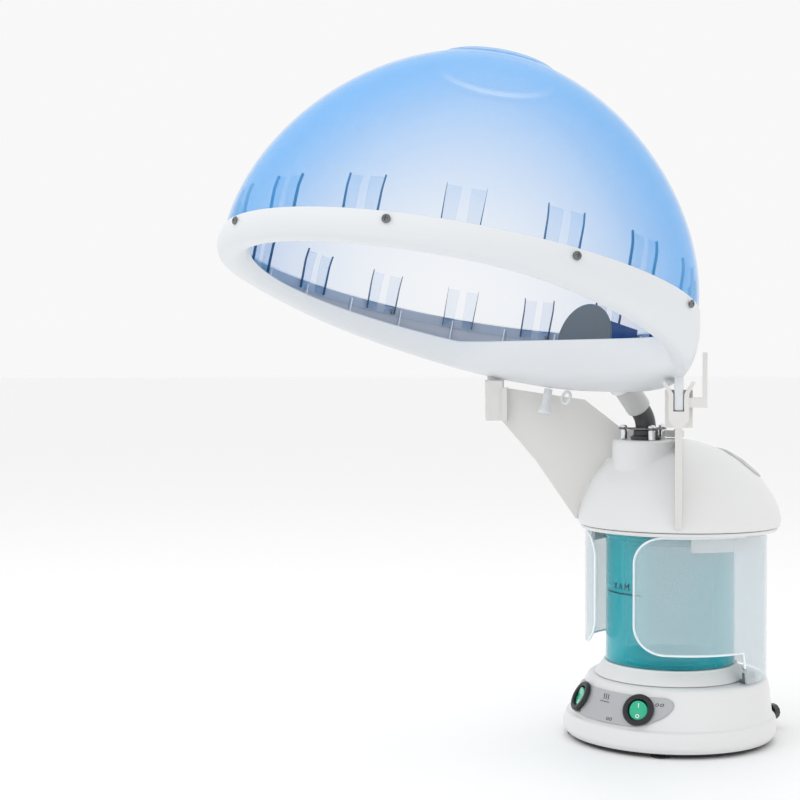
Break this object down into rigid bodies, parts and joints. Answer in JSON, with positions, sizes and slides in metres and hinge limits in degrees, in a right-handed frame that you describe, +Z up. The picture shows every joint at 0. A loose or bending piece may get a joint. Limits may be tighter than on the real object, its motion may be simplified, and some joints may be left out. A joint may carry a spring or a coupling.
{
  "type": "facial steamer",
  "caption": "Table-top salon steamer: round base with water tank and two rocker switches, lift-off steam head and tilted clear dome hood held in forks.",
  "frame": {"origin": "centre of the overall box on the table plane, under the feet", "axes": "+Z up; -Y is the front, where the switches and the hood face; +X to the right seen from behind the hood looking along +Y"},
  "size_m": [0.3916, 0.5398, 0.5885],
  "materials": {
    "casing_white": "satin",
    "hood_white": "satin",
    "bracket_cream": "satin",
    "base_black": "matte",
    "foot_rubber": "matte",
    "gland_black": "matte",
    "label_silver": "satin",
    "bezel_black": "satin",
    "rocker_green": "gloss",
    "transformer_iron": "matte",
    "board_green": "satin",
    "thermostat_steel": "satin",
    "heater_aluminium": "satin",
    "heater_steel": "satin",
    "tank_teal": "gloss",
    "level_ink": "matte",
    "gasket_rubber": "matte",
    "guard_clear": "gloss",
    "clip_grey": "satin",
    "grip_grey": "satin",
    "pipe_grey": "satin",
    "sleeve_clear": "satin",
    "flange_steel": "satin",
    "post_chrome": "polished",
    "screw_steel": "satin",
    "dome_blue": "gloss",
    "deflector_slate": "satin",
    "duct_navy": "satin"
  },
  "bodies": {
    "base": {"base_casing": "casing_white", "base_plate": "base_black", "circuit_board": "board_green", "control_label": "label_silver", "cord_gland": "gland_black", "guard_clip_left": "clip_grey", "guard_clip_right": "clip_grey", "heater_block": "heater_aluminium", "heater_plate": "heater_steel", "level_mark": "level_ink", "ozone_bezel": "bezel_black", "ozone_switch_body": "bezel_black", "rubber_foot_1": "foot_rubber", "rubber_foot_2": "foot_rubber", "rubber_foot_3": "foot_rubber", "rubber_foot_4": "foot_rubber", "steam_bezel": "bezel_black", "steam_switch_body": "bezel_black", "tank_collar": "casing_white", "tank_gasket": "gasket_rubber", "tank_guard": "guard_clear", "thermostat": "thermostat_steel", "transformer": "transformer_iron", "water_tank": "tank_teal"},
    "steam_switch": {"steam_rocker": "rocker_green"},
    "ozone_switch": {"ozone_rocker": "rocker_green"},
    "head": {"bracket_bridge": "bracket_cream", "bracket_wing_left": "bracket_cream", "bracket_wing_right": "bracket_cream", "bridge_screw_1": "post_chrome", "bridge_screw_2": "post_chrome", "flange_plate": "flange_steel", "head_cover": "casing_white", "head_ring": "casing_white", "outlet_collar": "pipe_grey", "outlet_post_1": "post_chrome", "outlet_post_2": "post_chrome", "outlet_post_3": "post_chrome", "outlet_screw_1": "post_chrome", "outlet_screw_2": "post_chrome", "outlet_screw_3": "post_chrome", "rear_grip": "grip_grey", "steam_elbow": "pipe_grey", "steam_sleeve": "sleeve_clear"},
    "hood": {"drain_spout": "hood_white", "hanging_loop": "hood_white", "hood_dome": "dome_blue", "hood_ring": "hood_white", "hood_screw_1": "screw_steel", "hood_screw_2": "screw_steel", "hood_screw_3": "screw_steel", "hood_screw_4": "screw_steel", "hood_screw_5": "screw_steel", "hood_screw_6": "screw_steel", "hood_screw_7": "screw_steel", "hood_screw_8": "screw_steel", "steam_deflector": "deflector_slate", "steam_duct": "duct_navy"}
  },
  "joints": [
    {"name": "steam_switch_tilt", "type": "hinge", "parent": "base", "child": "steam_switch", "pos_m": [-0.03482, 0.094, 0.037], "axis": [-0.9135, 0.4067, 0], "range_deg": [0, 18]},
    {"name": "ozone_switch_tilt", "type": "hinge", "parent": "base", "child": "ozone_switch", "pos_m": [0.03482, 0.094, 0.037], "axis": [-0.9135, -0.4067, 0], "range_deg": [0, 18]},
    {"name": "head_lift", "type": "slide", "parent": "base", "child": "head", "axis": [0, 0, 1], "range_m": [0, 0.06]},
    {"name": "hood_lift", "type": "slide", "parent": "head", "child": "hood", "axis": [0, 0, 1], "range_m": [0, 0.05]}
  ]
}
